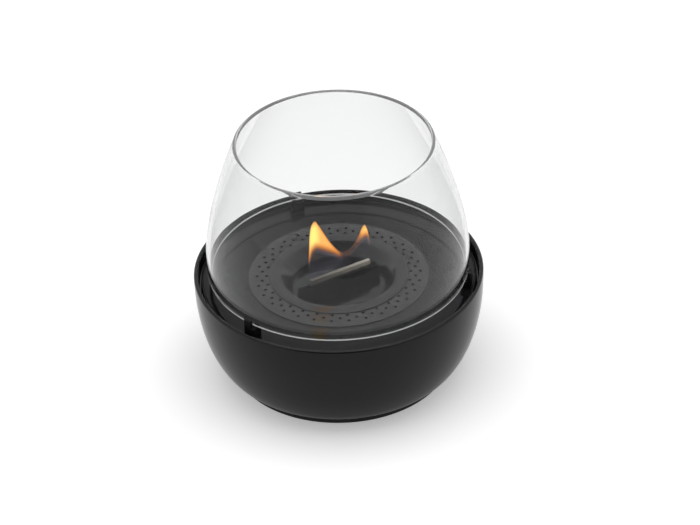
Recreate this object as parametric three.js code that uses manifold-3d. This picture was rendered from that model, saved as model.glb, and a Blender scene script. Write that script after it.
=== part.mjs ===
// A tabletop bioethanol fire: glazed bowl, steel deck, perforated air ring, burner cup with its
// strip wick, and a clear shade standing in three clips. Millimetres, +Z up. The origin is at the
// middle of the foot, on the table. Azimuths are counted from the front (-Y) towards the left (-X).
import * as THREE from "three";
import { mergeVertices } from "three/addons/utils/BufferGeometryUtils.js";
import Module from "manifold-3d";

const wasm = await Module();
wasm.setup();

// Clearances between pieces
const seatGap = 0.3; // under a piece that rests on another
const thinGap = 0.2; // under the stacked sheet-metal rims
const sideGap = 0.4; // round a piece that drops into a hole or a slot
const deckEdgeGap = 2; // between the deck's edge and the bowl's rim

// Bowl
const bowlRadius = 115; // outermost, on the rim
const bowlHeight = 89; // table to the crest of the rim
const rimWidth = 3.6; // the rim is half round
const rimDepth = 5; // crest to the top of the side's curve
const bowlBaseInset = 27.6; // base edge in from the outermost radius
const baseRise = 4.2; // table to the ceramic
const baseTurn = 10.7; // lower handle of the side's curve: outwards, and up
const baseLift = 3.8;
const bellyRise = 30.8; // upper handle of the side's curve, over the base
const floorThickness = 5;
const floorInset = 15.4; // flat floor inside the bowl, in from the base edge
const cavityTurn = 13.5; // lower handle of the inside curve, outwards
const cavityRise = 35; // upper handle of the inside curve, over the floor
const ledgeWidth = 5.2; // what the gasket and the deck rest on

// Foot ring, stuck under the base
const footInset = 0.1; // in from the base edge
const footWidth = 7;

// Deck and its gasket
const deckDrop = 7; // crest of the rim to the deck's top face
const deckThickness = 1.5;
const deckEdgeChamfer = 0.7;
const gasketThickness = 1.5;
const gasketInset = 0.3; // from the ledge's inner edge and the deck's edge
const deckCollarDepth = 4.5; // turned-down edge of the middle hole
const deckCollarWall = 1.5;

// Air ring
const airRingRadius = 72;
const airRingThickness = 0.8;
const airRingSeat = 4; // how far it lies on the deck
const airCollarDepth = 3.2;
const airCollarWall = 0.8;
const airHoleRadius = 1.15;
const airHoleMiddleRow = 61.2; // radius of the middle row
const airRowPitch = 3.8;
const airHolesPerRow = 30;

// Burner cup
const flangeRadius = 55.3;
const flangeThickness = 0.8;
const mouthRadius = 46.2;
const wellRadius = 37.5; // inside, under the funnel
const funnelDepth = 9.6;
const cupDepth = 57;
const cupWall = 0.8;
const ringLap = 3.8; // how far the flange lies on the air ring

// Wick and its holder
const wickLength = 54.5;
const wickThickness = 3.5;
const wickShift = 1.5; // to the right, along its holder
const wickStandOut = 2.3; // above the burner's flange
const wickTurn = 30; // degrees from the X axis
const wickEdgeRound = 0.7;
const holderLength = 72;
const holderWall = 0.8;
const holderDrop = 3.5; // its walls' tops, below the burner's flange
const holderFoot = 9; // each side of the channel
const holderMargin = 1; // between the foot's round ends and the cup's wall

// Glass shade
const glassWall = 3;
const glassHeight = 115.1;
const glassLift = 9.6; // deck to the glass's lower edge
const glassMargin = 5.7; // deck's edge to the glass
const glassTaper = 25.3; // base radius less mouth radius
const glassSwell = 3.5; // lower handle of the outline: outwards, and up
const glassSwellRise = 26.3;
const glassShoulder = 18.3; // upper handle of the outline: outwards from the mouth, and down
const glassShoulderDrop = 45;
const glassEdgeChamfer = 0.6;

// Clips, their pads and screws
const clipAzimuths = [41.2, 161.2, 281.2];
const clipWidth = 10.4;
const outerJaw = 2.6;
const outerJawWidth = 6.8;
const outerJawGrip = 4.4; // above the glass's lower edge
const innerJaw = 1.8;
const innerJawWidth = 4;
const innerJawGrip = 1.4;
const clipChamfer = 0.6;
const padThickness = 1.3;
const screwRadius = 1.5;
const screwHeadRadius = 2.4;
const screwHeadHeight = 1.8;
const screwHeadChamfer = 0.5;
const screwReach = 4.5; // above the deck
const screwSocketRadius = 1.1;
const screwSocketDepth = 1;

// Facets round each turned piece, and steps along each curve of an outline
const sidesLarge = 64;
const sidesMedium = 48;
const sidesSmall = 16;
const sidesHole = 8;
const sidesSocket = 6;
const stepsBowlSide = 9;
const stepsBowlRim = 6;
const stepsBowlInside = 6;
const stepsGlassSide = 8;
const stepsGlassLip = 4;

// Levels and radii that follow from the sizes above
const deckTop = bowlHeight - deckDrop;
const deckUnderside = deckTop - deckThickness;
const ledgeZ = deckUnderside - 2 * seatGap - gasketThickness;
const rimInnerRadius = bowlRadius - rimWidth;
const ledgeInnerRadius = rimInnerRadius - ledgeWidth;
const bowlBaseRadius = bowlRadius - bowlBaseInset;
const footRadius = bowlBaseRadius - footInset;
const deckRadius = rimInnerRadius - deckEdgeGap;
const deckHoleRadius = airRingRadius - airRingSeat;
const airRingUnderside = deckTop + thinGap;
const airRingTop = airRingUnderside + airRingThickness;
const airRingHole = flangeRadius - ringLap;
const flangeUnderside = airRingTop + thinGap;
const flangeTop = flangeUnderside + flangeThickness;
const cupUnderside = flangeTop - cupDepth;
const cupFloor = cupUnderside + cupWall;
const holderUnderside = cupFloor + seatGap;
const wickUnderside = holderUnderside + holderWall + seatGap;
const wickTop = flangeTop + wickStandOut;
const glassRadius = deckRadius - glassMargin;
const glassBottom = deckTop + glassLift;
const glassTop = glassBottom + glassHeight;
const slotInner = glassRadius - glassWall - sideGap;
const slotOuter = glassRadius + sideGap;
const slotFloor = glassBottom - 2 * thinGap - padThickness;
const clipInner = slotInner - innerJaw;
const clipOuter = slotOuter + outerJaw;
const clipBottom = deckTop + thinGap;
const screwCentre = (clipInner + clipOuter) / 2;

const radians = (degrees) => (degrees * Math.PI) / 180;
const bearing = (azimuth) => radians(-90 - azimuth);

const finish = (color, roughness, metalness) =>
  new THREE.MeshStandardMaterial({ color, roughness, metalness });

const blackGlaze = finish(0x16171a, 0.12, 0);
const blackSteel = finish(0x2c2c2f, 0.3, 0.4);
const blackRubber = finish(0x0c0c0c, 0.7, 0);
const zincSteel = finish(0x9a9a98, 0.35, 0.9);
const fibreBoard = finish(0x8a8176, 0.95, 0);
const clearGlass = finish(0xe8eeee, 0.03, 0);
clearGlass.transparent = true;
clearGlass.opacity = 0.3;

const part = new THREE.Group();

function addPiece(name, geometry, material, holder = part) {
  const mesh = new THREE.Mesh(geometry, material);
  mesh.name = name;
  holder.add(mesh);
  return mesh;
}

// A point of a profile: radius and level, or X and Z.
const point = (x, z) => new THREE.Vector2(x, z);

// A cubic curve's points, moved sideways by a wall's thickness: positive is to its left.
function offsetPoints(curve, steps, distance) {
  const moved = [];
  for (let i = 0; i <= steps; i++) {
    const t = i / steps;
    const along = curve.getTangent(t);
    const at = curve.getPoint(t);
    moved.push(point(at.x - along.y * distance, at.y + along.x * distance));
  }
  return moved;
}

function arcPoints(centreR, centreZ, radius, fromDegrees, toDegrees, steps) {
  const points = [];
  for (let i = 0; i <= steps; i++) {
    const angle = radians(fromDegrees + ((toDegrees - fromDegrees) * i) / steps);
    points.push(point(centreR + radius * Math.cos(angle), centreZ + radius * Math.sin(angle)));
  }
  return points;
}

// A turned solid from a profile that runs outwards at the bottom, up outside and back inside.
// The profile closes on itself, or starts and ends on the axis.
function turned(profile, sides) {
  const onAxis = profile[0].x === 0;
  const closed = onAxis ? profile : [...profile, profile[0].clone()];
  return new THREE.LatheGeometry(closed, sides).rotateX(Math.PI / 2);
}

// An outline in X and Z, extruded along Y and centred there.
function extruded(points, length) {
  const geometry = new THREE.ExtrudeGeometry(new THREE.Shape(points), {
    depth: length,
    bevelEnabled: false,
  });
  return geometry.rotateX(Math.PI / 2).translate(0, length / 2, 0);
}

// A rectangle's corners, each cut by a chamfer.
function chamferedBox(x0, z0, x1, z1, chamfer) {
  return [
    point(x0 + chamfer, z0),
    point(x1 - chamfer, z0),
    point(x1, z0 + chamfer),
    point(x1, z1 - chamfer),
    point(x1 - chamfer, z1),
    point(x0 + chamfer, z1),
    point(x0, z1 - chamfer),
    point(x0, z0 + chamfer),
  ];
}

// An upright cylinder between two levels.
function rod(radius, z0, z1, sides, x = 0, y = 0) {
  const geometry = new THREE.CylinderGeometry(radius, radius, z1 - z0, sides);
  return geometry.rotateX(Math.PI / 2).translate(x, y, (z0 + z1) / 2);
}

function toSolid(geometry) {
  const bare = geometry.index ? geometry.toNonIndexed() : geometry.clone();
  bare.deleteAttribute("normal");
  bare.deleteAttribute("uv");
  const merged = mergeVertices(bare, 1e-4);
  return new wasm.Manifold(
    new wasm.Mesh({
      numProp: 3,
      vertProperties: merged.attributes.position.array,
      triVerts: new Uint32Array(merged.index.array),
    }),
  );
}

function toGeometry(solid) {
  const mesh = solid.getMesh();
  const geometry = new THREE.BufferGeometry();
  geometry.setAttribute("position", new THREE.BufferAttribute(mesh.vertProperties, 3));
  geometry.setIndex(new THREE.BufferAttribute(mesh.triVerts, 1));
  geometry.computeVertexNormals();
  return geometry;
}

function cut(geometry, tools) {
  let solid = toSolid(geometry);
  for (const tool of tools) {
    solid = solid.subtract(toSolid(tool));
  }
  return toGeometry(solid);
}

// The part of a piece that lies inside another solid.
function keep(geometry, room) {
  return toGeometry(toSolid(geometry).intersect(toSolid(room)));
}

function bowl() {
  const rimRound = rimWidth / 2;
  const rimMiddle = bowlRadius - rimRound;
  const rimMiddleZ = bowlHeight - rimRound;
  const side = new THREE.CubicBezierCurve(
    point(bowlBaseRadius, baseRise),
    point(bowlBaseRadius + baseTurn, baseRise + baseLift),
    point(bowlRadius, baseRise + bellyRise),
    point(bowlRadius, bowlHeight - rimDepth),
  );
  const floorZ = baseRise + floorThickness;
  const floorRadius = bowlBaseRadius - floorInset;
  const inside = new THREE.CubicBezierCurve(
    point(ledgeInnerRadius, ledgeZ),
    point(ledgeInnerRadius, floorZ + cavityRise),
    point(floorRadius + cavityTurn, floorZ),
    point(floorRadius, floorZ),
  );
  return turned(
    [
      point(0, baseRise),
      ...side.getPoints(stepsBowlSide),
      ...arcPoints(rimMiddle, rimMiddleZ, rimRound, 0, 180, stepsBowlRim),
      point(rimInnerRadius, ledgeZ),
      ...inside.getPoints(stepsBowlInside),
      point(0, floorZ),
    ],
    sidesLarge,
  );
}

function footRing() {
  const inner = footRadius - footWidth;
  const top = baseRise - seatGap;
  return turned(
    [
      point(inner, 0),
      point(footRadius, 0),
      point(footRadius, top),
      point(inner, top),
    ],
    sidesLarge,
  );
}

function deckGasket() {
  const z0 = ledgeZ + seatGap;
  const inner = ledgeInnerRadius + gasketInset;
  const outer = deckRadius - gasketInset;
  return turned(
    [
      point(inner, z0),
      point(outer, z0),
      point(outer, z0 + gasketThickness),
      point(inner, z0 + gasketThickness),
    ],
    sidesLarge,
  );
}

function deckPlate() {
  const collar = deckUnderside - deckCollarDepth;
  const plate = turned(
    [
      point(deckHoleRadius, collar),
      point(deckHoleRadius + deckCollarWall, collar),
      point(deckHoleRadius + deckCollarWall, deckUnderside),
      point(deckRadius, deckUnderside),
      point(deckRadius, deckTop - deckEdgeChamfer),
      point(deckRadius - deckEdgeChamfer, deckTop),
      point(deckHoleRadius, deckTop),
    ],
    sidesLarge,
  );
  const holes = clipAzimuths.map((azimuth) => {
    const turn = bearing(azimuth);
    const x = screwCentre * Math.cos(turn);
    const y = screwCentre * Math.sin(turn);
    const overrun = deckThickness;
    return rod(screwRadius + seatGap, deckUnderside - overrun, deckTop + overrun, sidesSmall, x, y);
  });
  return cut(plate, holes);
}

function airRing() {
  const collarOuter = deckHoleRadius - sideGap;
  const collarInner = collarOuter - airCollarWall;
  const collarZ = airRingUnderside - airCollarDepth;
  const ring = turned(
    [
      point(airRingHole, airRingUnderside),
      point(collarInner, airRingUnderside),
      point(collarInner, collarZ),
      point(collarOuter, collarZ),
      point(collarOuter, airRingUnderside),
      point(airRingRadius, airRingUnderside),
      point(airRingRadius, airRingTop),
      point(airRingHole, airRingTop),
    ],
    sidesLarge,
  );
  const holes = [];
  for (let i = 0; i < airHolesPerRow; i++) {
    for (const row of [-1, 0, 1]) {
      const stagger = row === 0 ? 0 : 0.5;
      const turn = bearing((360 * (i + stagger)) / airHolesPerRow);
      const radius = airHoleMiddleRow + row * airRowPitch;
      const x = radius * Math.cos(turn);
      const y = radius * Math.sin(turn);
      const overrun = airRingThickness;
      holes.push(
        rod(airHoleRadius, airRingUnderside - overrun, airRingTop + overrun, sidesHole, x, y),
      );
    }
  }
  return cut(ring, holes);
}

function fuelCup() {
  const funnelZ = flangeTop - funnelDepth;
  const outer = wellRadius + cupWall;
  const edge = cupWall / 2;
  return turned(
    [
      point(0, cupUnderside),
      point(outer - cupWall, cupUnderside),
      point(outer, cupUnderside + cupWall),
      point(outer, funnelZ - edge),
      point(mouthRadius + cupWall, flangeUnderside),
      point(flangeRadius, flangeUnderside),
      point(flangeRadius, flangeTop),
      point(mouthRadius + edge, flangeTop),
      point(mouthRadius, flangeTop - edge),
      point(wellRadius, funnelZ),
      point(wellRadius, cupFloor + edge),
      point(wellRadius - edge, cupFloor),
      point(0, cupFloor),
    ],
    sidesMedium,
  );
}

function wick() {
  const half = wickThickness / 2;
  const strip = extruded(
    chamferedBox(-half, wickUnderside, half, wickTop, wickEdgeRound),
    wickLength,
  );
  return strip.rotateZ(Math.PI / 2).translate(wickShift, 0, 0);
}

// A folded channel: two feet, two upright walls and the floor between them. The feet are trimmed
// round, to drop into the cup.
function wickHolder() {
  const z0 = holderUnderside;
  const z1 = flangeTop - holderDrop;
  const inner = wickThickness / 2 + sideGap;
  const outer = inner + holderWall;
  const foot = outer + holderFoot;
  const channel = extruded(
    [
      point(-foot, z0),
      point(foot, z0),
      point(foot, z0 + holderWall),
      point(outer, z0 + holderWall),
      point(outer, z1),
      point(inner, z1),
      point(inner, z0 + holderWall),
      point(-inner, z0 + holderWall),
      point(-inner, z1),
      point(-outer, z1),
      point(-outer, z0 + holderWall),
      point(-foot, z0 + holderWall),
    ],
    holderLength,
  );
  const overrun = holderWall;
  const room = rod(wellRadius - holderMargin, z0 - overrun, z1 + overrun, sidesMedium);
  return keep(channel.rotateZ(Math.PI / 2), room);
}

function glassShade() {
  const upperRadius = glassRadius - glassTaper;
  const round = glassWall / 2;
  const rising = point(-glassShoulder, glassShoulderDrop).normalize();
  const upperZ = glassTop - round * (1 + rising.x);
  const outline = new THREE.CubicBezierCurve(
    point(glassRadius, glassBottom),
    point(glassRadius + glassSwell, glassBottom + glassSwellRise),
    point(upperRadius + glassShoulder, upperZ - glassShoulderDrop),
    point(upperRadius, upperZ),
  );
  const outside = outline.getPoints(stepsGlassSide);
  const inside = offsetPoints(outline, stepsGlassSide, glassWall).reverse();
  // The mouth is fire-rounded, and the lower edge is ground flat with two small chamfers.
  const lipStart = THREE.MathUtils.radToDeg(Math.atan2(-rising.x, rising.y));
  const lip = arcPoints(
    upperRadius - rising.y * round,
    upperZ + rising.x * round,
    round,
    lipStart,
    lipStart + 180,
    stepsGlassLip,
  );
  const innerFoot = inside.pop();
  const outerFoot = outside.shift();
  return turned(
    [
      point(innerFoot.x + glassEdgeChamfer, glassBottom),
      point(outerFoot.x - glassEdgeChamfer, glassBottom),
      point(outerFoot.x, glassBottom + glassEdgeChamfer),
      ...outside,
      ...lip.slice(1, -1),
      ...inside,
      point(innerFoot.x, glassBottom + glassEdgeChamfer),
    ],
    sidesLarge,
  );
}

// In a clip's own frame X runs outwards from the middle of the object, and Y along the deck's
// edge. The outer jaw stands at the -Y end and the inner jaw at the +Y end.
function glassClip() {
  const innerTop = glassBottom + innerJawGrip;
  const outerTop = glassBottom + outerJawGrip;
  const block = extruded(
    [
      point(clipInner, clipBottom),
      point(clipOuter, clipBottom),
      point(clipOuter, outerTop - clipChamfer),
      point(clipOuter - clipChamfer, outerTop),
      point(slotOuter, outerTop),
      point(slotOuter, slotFloor),
      point(slotInner, slotFloor),
      point(slotInner, innerTop),
      point(clipInner + clipChamfer, innerTop),
      point(clipInner, innerTop - clipChamfer),
    ],
    clipWidth,
  );
  const half = clipWidth / 2;
  const overrun = 1;
  const boreTop = deckTop + screwReach + seatGap;
  return cut(block, [
    box(slotOuter - overrun, outerJawWidth - half, clipOuter + overrun, half + overrun),
    box(clipInner - overrun, -half - overrun, slotInner + overrun, half - innerJawWidth),
    rod(screwRadius + thinGap, clipBottom - overrun, boreTop, sidesSmall, screwCentre, 0),
  ]);
}

// What is cut from a jaw: a box from the slot's floor up past the clip.
function box(x0, y0, x1, y1) {
  const height = 2 * outerJawGrip + padThickness;
  const geometry = new THREE.BoxGeometry(x1 - x0, y1 - y0, height);
  return geometry.translate((x0 + x1) / 2, (y0 + y1) / 2, slotFloor + height / 2);
}

function clipPad() {
  const z0 = slotFloor + thinGap;
  return extruded(
    [
      point(slotInner + thinGap, z0),
      point(slotOuter - thinGap, z0),
      point(slotOuter - thinGap, z0 + padThickness),
      point(slotInner + thinGap, z0 + padThickness),
    ],
    clipWidth - 2 * thinGap,
  );
}

function clipScrew() {
  const headTop = deckUnderside - thinGap;
  const headZ = headTop - screwHeadHeight;
  const tip = deckTop + screwReach;
  const screw = turned(
    [
      point(0, headZ),
      point(screwHeadRadius - screwHeadChamfer, headZ),
      point(screwHeadRadius, headZ + screwHeadChamfer),
      point(screwHeadRadius, headTop),
      point(screwRadius, headTop),
      point(screwRadius, tip),
      point(0, tip),
    ],
    sidesSmall,
  );
  const overrun = screwSocketDepth;
  const socket = rod(screwSocketRadius, headZ - overrun, headZ + screwSocketDepth, sidesSocket);
  return cut(screw, [socket]).translate(screwCentre, 0, 0);
}

addPiece("bowl", bowl(), blackGlaze);
addPiece("foot_ring", footRing(), blackRubber);
addPiece("deck_gasket", deckGasket(), blackRubber);
addPiece("deck_plate", deckPlate(), blackSteel);
addPiece("air_ring", airRing(), blackSteel);
addPiece("fuel_cup", fuelCup(), blackSteel);
addPiece("glass_shade", glassShade(), clearGlass);

const wickStand = new THREE.Group();
wickStand.rotation.z = radians(wickTurn);
part.add(wickStand);
addPiece("wick", wick(), fibreBoard, wickStand);
addPiece("wick_holder", wickHolder(), blackSteel, wickStand);

clipAzimuths.forEach((azimuth, index) => {
  const station = new THREE.Group();
  station.rotation.z = bearing(azimuth);
  part.add(station);
  addPiece(`glass_clip_${index + 1}`, glassClip(), blackRubber, station);
  addPiece(`clip_pad_${index + 1}`, clipPad(), blackRubber, station);
  addPiece(`clip_screw_${index + 1}`, clipScrew(), zincSteel, station);
});

export default part;
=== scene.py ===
"""Tabletop bioethanol fire: the visible pieces, their finishes and a plain studio.

Every length is in metres. The frame's origin is the middle of the foot, on the table, with +Z up
and the front of the fire towards -Y.
"""

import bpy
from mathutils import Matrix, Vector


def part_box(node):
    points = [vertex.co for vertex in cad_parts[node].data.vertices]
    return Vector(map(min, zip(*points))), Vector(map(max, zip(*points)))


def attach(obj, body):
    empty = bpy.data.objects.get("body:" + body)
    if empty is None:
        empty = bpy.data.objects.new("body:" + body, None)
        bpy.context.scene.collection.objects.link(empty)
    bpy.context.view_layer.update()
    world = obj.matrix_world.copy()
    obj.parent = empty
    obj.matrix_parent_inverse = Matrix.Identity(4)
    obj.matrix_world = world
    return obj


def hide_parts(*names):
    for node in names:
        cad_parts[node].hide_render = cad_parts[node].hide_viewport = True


bl_info = {
    "name": "Tabletop Bioethanol Fire",
    "version": (1, 0, 0),
    "blender": (4, 5, 0),
    "location": "View3D > Sidebar > Fire",
    "description": "Builds the visible pieces of a tabletop bioethanol fire round its frame",
    "category": "Object",
}

import math

import bmesh
import bpy
from bpy.props import FloatProperty, FloatVectorProperty, IntProperty, PointerProperty
from mathutils import Matrix, Vector, noise

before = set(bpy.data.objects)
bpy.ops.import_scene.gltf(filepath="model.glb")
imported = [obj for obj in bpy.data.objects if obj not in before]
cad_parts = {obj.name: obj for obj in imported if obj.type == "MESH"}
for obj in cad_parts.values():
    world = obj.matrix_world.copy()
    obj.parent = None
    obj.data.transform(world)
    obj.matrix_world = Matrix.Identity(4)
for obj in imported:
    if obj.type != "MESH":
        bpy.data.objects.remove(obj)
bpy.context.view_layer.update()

MM = 0.001

BOWL_LOW, BOWL_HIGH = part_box("bowl")
_, FOOT_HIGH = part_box("foot_ring")
DECK_LOW, DECK_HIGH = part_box("deck_plate")
RING_LOW, RING_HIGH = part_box("air_ring")
CUP_LOW, CUP_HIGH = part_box("fuel_cup")
GLASS_LOW, GLASS_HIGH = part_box("glass_shade")
WICK_LOW, WICK_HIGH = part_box("wick")
CLIP_LOW, CLIP_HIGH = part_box("glass_clip_1")

WHITE = (1, 1, 1, 1)


def length(name, description, default):
    return FloatProperty(name=name, description=description, default=default, unit="LENGTH")


def angle(name, description, degrees):
    return FloatProperty(
        name=name, description=description, default=math.radians(degrees), subtype="ANGLE"
    )


def amount(name, description, default, unit="NONE"):
    return FloatProperty(name=name, description=description, default=default, unit=unit)


def colour(name, description, default):
    return FloatVectorProperty(
        name=name, description=description, default=default, size=3, min=0, max=1, subtype="COLOR"
    )


class BowlSettings(bpy.types.PropertyGroup):
    radius: length("Radius", "Outermost radius, on the rim", BOWL_HIGH.x)
    height: length("Height", "Crest of the rim above the table", BOWL_HIGH.z)
    base: length("Base", "Underside above the table", BOWL_LOW.z)
    base_radius: length("Base radius", "Where the side's curve starts", 87.4 * MM)
    base_turn: length("Base turn", "Lower handle of the side's curve, outwards", 10.7 * MM)
    base_lift: length("Base lift", "Lower handle of the side's curve, up", 4.1 * MM)
    belly: length("Belly", "Upper handle of the side's curve, above the underside", 30.8 * MM)
    rim_depth: length("Rim depth", "From the crest to the top of the side's curve", 5 * MM)
    rim_width: length("Rim width", "The rim is half round", 3.6 * MM)
    ledge: length("Ledge", "Level of the ledge that carries the deck", 78.4 * MM)
    ledge_width: length("Ledge width", "From the rim's inner face", 5.2 * MM)
    floor: length("Floor", "Thickness of the floor", 5 * MM)
    floor_inset: length("Floor inset", "Flat floor, in from the base radius", 15.4 * MM)
    cavity_turn: length("Cavity turn", "Lower handle of the inside curve, outwards", 13.5 * MM)
    cavity_rise: length("Cavity rise", "Upper handle of the inside curve, above the floor", 35 * MM)
    glaze: colour("Glaze", "Colour of the glaze", (0.003, 0.003, 0.0038))


class FootSettings(bpy.types.PropertyGroup):
    radius: length("Radius", "Outer radius of the foot ring", FOOT_HIGH.x)
    width: length("Width", "From its inner to its outer edge", 7 * MM)
    top: length("Top", "Level of its top face, under the bowl", FOOT_HIGH.z + 0.25 * MM)
    rubber: colour("Rubber", "Colour of the rubber", (0.012, 0.012, 0.012))


class DeckSettings(bpy.types.PropertyGroup):
    radius: length("Radius", "Outer radius of the deck", DECK_HIGH.x)
    top: length("Top", "Level of the deck's top face", DECK_HIGH.z)
    thickness: length("Thickness", "Of the sheet", 1.5 * MM)
    crease: length("Crease", "Radius of the crease inside the deck's rolled edge", 107.9 * MM)
    hole: length("Hole", "Radius of the middle hole", 68 * MM)
    collar: length("Collar", "Lower edge of the turned-down collar", DECK_LOW.z)
    ring_radius: length("Ring radius", "Outer radius of the air ring", RING_HIGH.x)
    ring_top: length("Ring top", "Level of the air ring's top face", RING_HIGH.z)
    ring_thickness: length("Ring thickness", "Of the air ring's sheet", 0.8 * MM)
    ring_hole: length("Ring hole", "Inner radius of the air ring", 51.5 * MM)
    air_hole: length("Air hole", "Radius of one air hole", 1.15 * MM)
    air_row: length("Air row", "Radius of the middle row of air holes", 61.2 * MM)
    air_pitch: length("Air pitch", "From one row of air holes to the next", 3.8 * MM)
    air_count: IntProperty(name="Air holes", description="Air holes in a row", default=30)
    enamel: colour("Enamel", "Colour of the steel's coat", (0.005, 0.005, 0.0057))
    gloss: amount("Gloss", "How strongly the deck's coat mirrors", 0.14)
    ring_enamel: colour("Ring enamel", "Colour of the air ring's coat", (0.02, 0.02, 0.021))
    ring_gloss: amount("Ring gloss", "How strongly the air ring's coat mirrors", 0.27)


class BurnerSettings(bpy.types.PropertyGroup):
    flange: length("Flange", "Outer radius of the cup's flange", CUP_HIGH.x)
    top: length("Top", "Level of the flange's top face", CUP_HIGH.z)
    bottom: length("Bottom", "Level of the cup's underside", CUP_LOW.z)
    mouth: length("Mouth", "Radius of the mouth", 46.2 * MM)
    well: length("Well", "Inner radius below the funnel", 37.5 * MM)
    funnel: length("Funnel", "Depth of the funnel", 9.6 * MM)
    wall: length("Wall", "Of the cup's sheet", 0.8 * MM)
    gloss: amount("Gloss", "How strongly the cup's coat mirrors", 0.42)
    fuel_level: length("Fuel level", "Level of the fuel's surface", 70 * MM)
    fuel_tint: colour("Fuel tint", "Colour of the fuel", (0.93, 0.96, 1.0))


class WickSettings(bpy.types.PropertyGroup):
    length: length("Length", "Of the strip", 54.5 * MM)
    shift: length("Shift", "Of the strip along its holder, to the right", 1.5 * MM)
    thickness: length("Thickness", "Of the strip", 3.5 * MM)
    top: length("Top", "Level of the strip's top edge", WICK_HIGH.z)
    bottom: length("Bottom", "Level of the strip's lower edge", WICK_LOW.z)
    turn: angle("Turn", "Direction of the strip from the X axis", 30)
    fibre: colour("Fibre", "Colour of the fibre board", (0.125, 0.116, 0.098))
    # Partly the fibre's colour where the fuel soaks it, and partly painted shade on the strip's
    # face down in the well.
    soaked_and_shaded: colour("Soaked", "Colour of the part that the fuel soaks", (0.018, 0.017, 0.016))
    flame_depth: length("Flame depth", "Greatest thickness of the flame", 7 * MM)
    flame_light: amount("Flame light", "Strength of the flame", 1.25)


class GlassSettings(bpy.types.PropertyGroup):
    radius: length("Radius", "Outer radius at the lower edge", 103.7 * MM)
    bottom: length("Bottom", "Level of the lower edge", GLASS_LOW.z)
    top: length("Top", "Level of the mouth", GLASS_HIGH.z)
    wall: length("Wall", "Thickness of the glass", 3 * MM)
    taper: length("Taper", "Lower radius less the mouth's radius", 25.3 * MM)
    swell: length("Swell", "Lower handle of the outline, outwards", 3.5 * MM)
    swell_rise: length("Swell rise", "Lower handle of the outline, up", 26.3 * MM)
    shoulder: length("Shoulder", "Upper handle of the outline, outwards", 18.3 * MM)
    shoulder_drop: length("Shoulder drop", "Upper handle of the outline, down", 45 * MM)
    # Painted highlight: the lip's pale, partly opaque coat stands in for the light that the rounded
    # lip reflects.
    lip_highlight_tint: colour("Lip tint", "Colour of the fire-polished lip", (0.97, 0.98, 0.98))
    tint: colour("Tint", "Colour of the glass", (0.905, 0.91, 0.912))


class ClipSettings(bpy.types.PropertyGroup):
    width: length("Width", "Along the deck's edge", 10.4 * MM)
    outer_jaw: length("Outer jaw", "Thickness of the jaw outside the glass", 2.6 * MM)
    outer_width: length("Outer width", "Of the outer jaw", 6.8 * MM)
    inner_jaw: length("Inner jaw", "Thickness of the jaw inside the glass", 1.8 * MM)
    inner_width: length("Inner width", "Of the inner jaw", 4 * MM)
    inner_grip: length("Inner grip", "Inner jaw above the glass's lower edge", 1.4 * MM)
    slot_gap: length("Slot gap", "On each side of the glass", 0.4 * MM)
    floor: length("Slot floor", "Level of the slot's floor", 89.9 * MM)
    coat: colour("Coat", "Colour of the clips", (0.005, 0.005, 0.0048))


class StudioSettings(bpy.types.PropertyGroup):
    distance: length("Distance", "From the lens to the deck, along the view", 2.38426)
    elevation: angle("Elevation", "Of the view over the deck", 34.35)
    roll: angle("Roll", "Of the camera about its view", -2.005)
    aside: length("Aside", "Deck's middle from the view's middle, to the right", -8.92 * MM)
    below: length("Below", "Deck's middle from the view's middle, down", 9.39 * MM)
    lens: amount("Lens", "Focal length on a 36 mm sensor", 154.29, "CAMERA")
    front: amount("Front", "Light from behind the camera", 0.22)
    back: amount("Back", "Light from behind the fire", 0.48)
    flank: amount("Flank", "Added light from both sides", 0.7)
    overhead: amount("Overhead", "Power of the lamp above", 16.0, "POWER")


SETTINGS = {
    "fire_bowl": BowlSettings,
    "fire_foot": FootSettings,
    "fire_deck": DeckSettings,
    "fire_burner": BurnerSettings,
    "fire_wick": WickSettings,
    "fire_glass": GlassSettings,
    "fire_clips": ClipSettings,
    "fire_studio": StudioSettings,
}

CLIP_AZIMUTHS = (41.2, 161.2, 281.2)


# Outlines: lists of (radius, level) or (x, z) points


def filleted(corners, steps=5):
    """A closed outline whose corners (x, z, radius) are rounded."""
    points = []
    count = len(corners)
    for i, (x, z, radius) in enumerate(corners):
        here = Vector((x, z))
        if radius == 0:
            points.append((x, z))
            continue
        before = (Vector(corners[i - 1][:2]) - here).normalized()
        after = (Vector(corners[(i + 1) % count][:2]) - here).normalized()
        half = before.angle(after) / 2
        reach = radius / math.tan(half)
        centre = here + (before + after).normalized() * radius / math.sin(half)
        start = here + before * reach - centre
        sweep = start.angle_signed(here + after * reach - centre)
        for k in range(steps + 1):
            arm = Matrix.Rotation(-sweep * k / steps, 2) @ start
            points.append(tuple(centre + arm))
    return points


def bezier(start, handle_out, handle_in, end, steps):
    """Points of a cubic curve, with its unit tangents."""
    p = [Vector(q) for q in (start, handle_out, handle_in, end)]
    points, tangents = [], []
    for k in range(steps + 1):
        t = k / steps
        u = 1 - t
        at = u**3 * p[0] + 3 * u * u * t * p[1] + 3 * u * t * t * p[2] + t**3 * p[3]
        along = u * u * (p[1] - p[0]) + 2 * u * t * (p[2] - p[1]) + t * t * (p[3] - p[2])
        points.append(at)
        tangents.append(along.normalized())
    return points, tangents


def arc(centre, radius, from_degrees, to_degrees, steps):
    points = []
    for k in range(steps + 1):
        turn = math.radians(from_degrees + (to_degrees - from_degrees) * k / steps)
        offset = Vector((math.cos(turn), math.sin(turn))) * radius
        points.append(Vector(centre) + offset)
    return points


# Meshes


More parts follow.
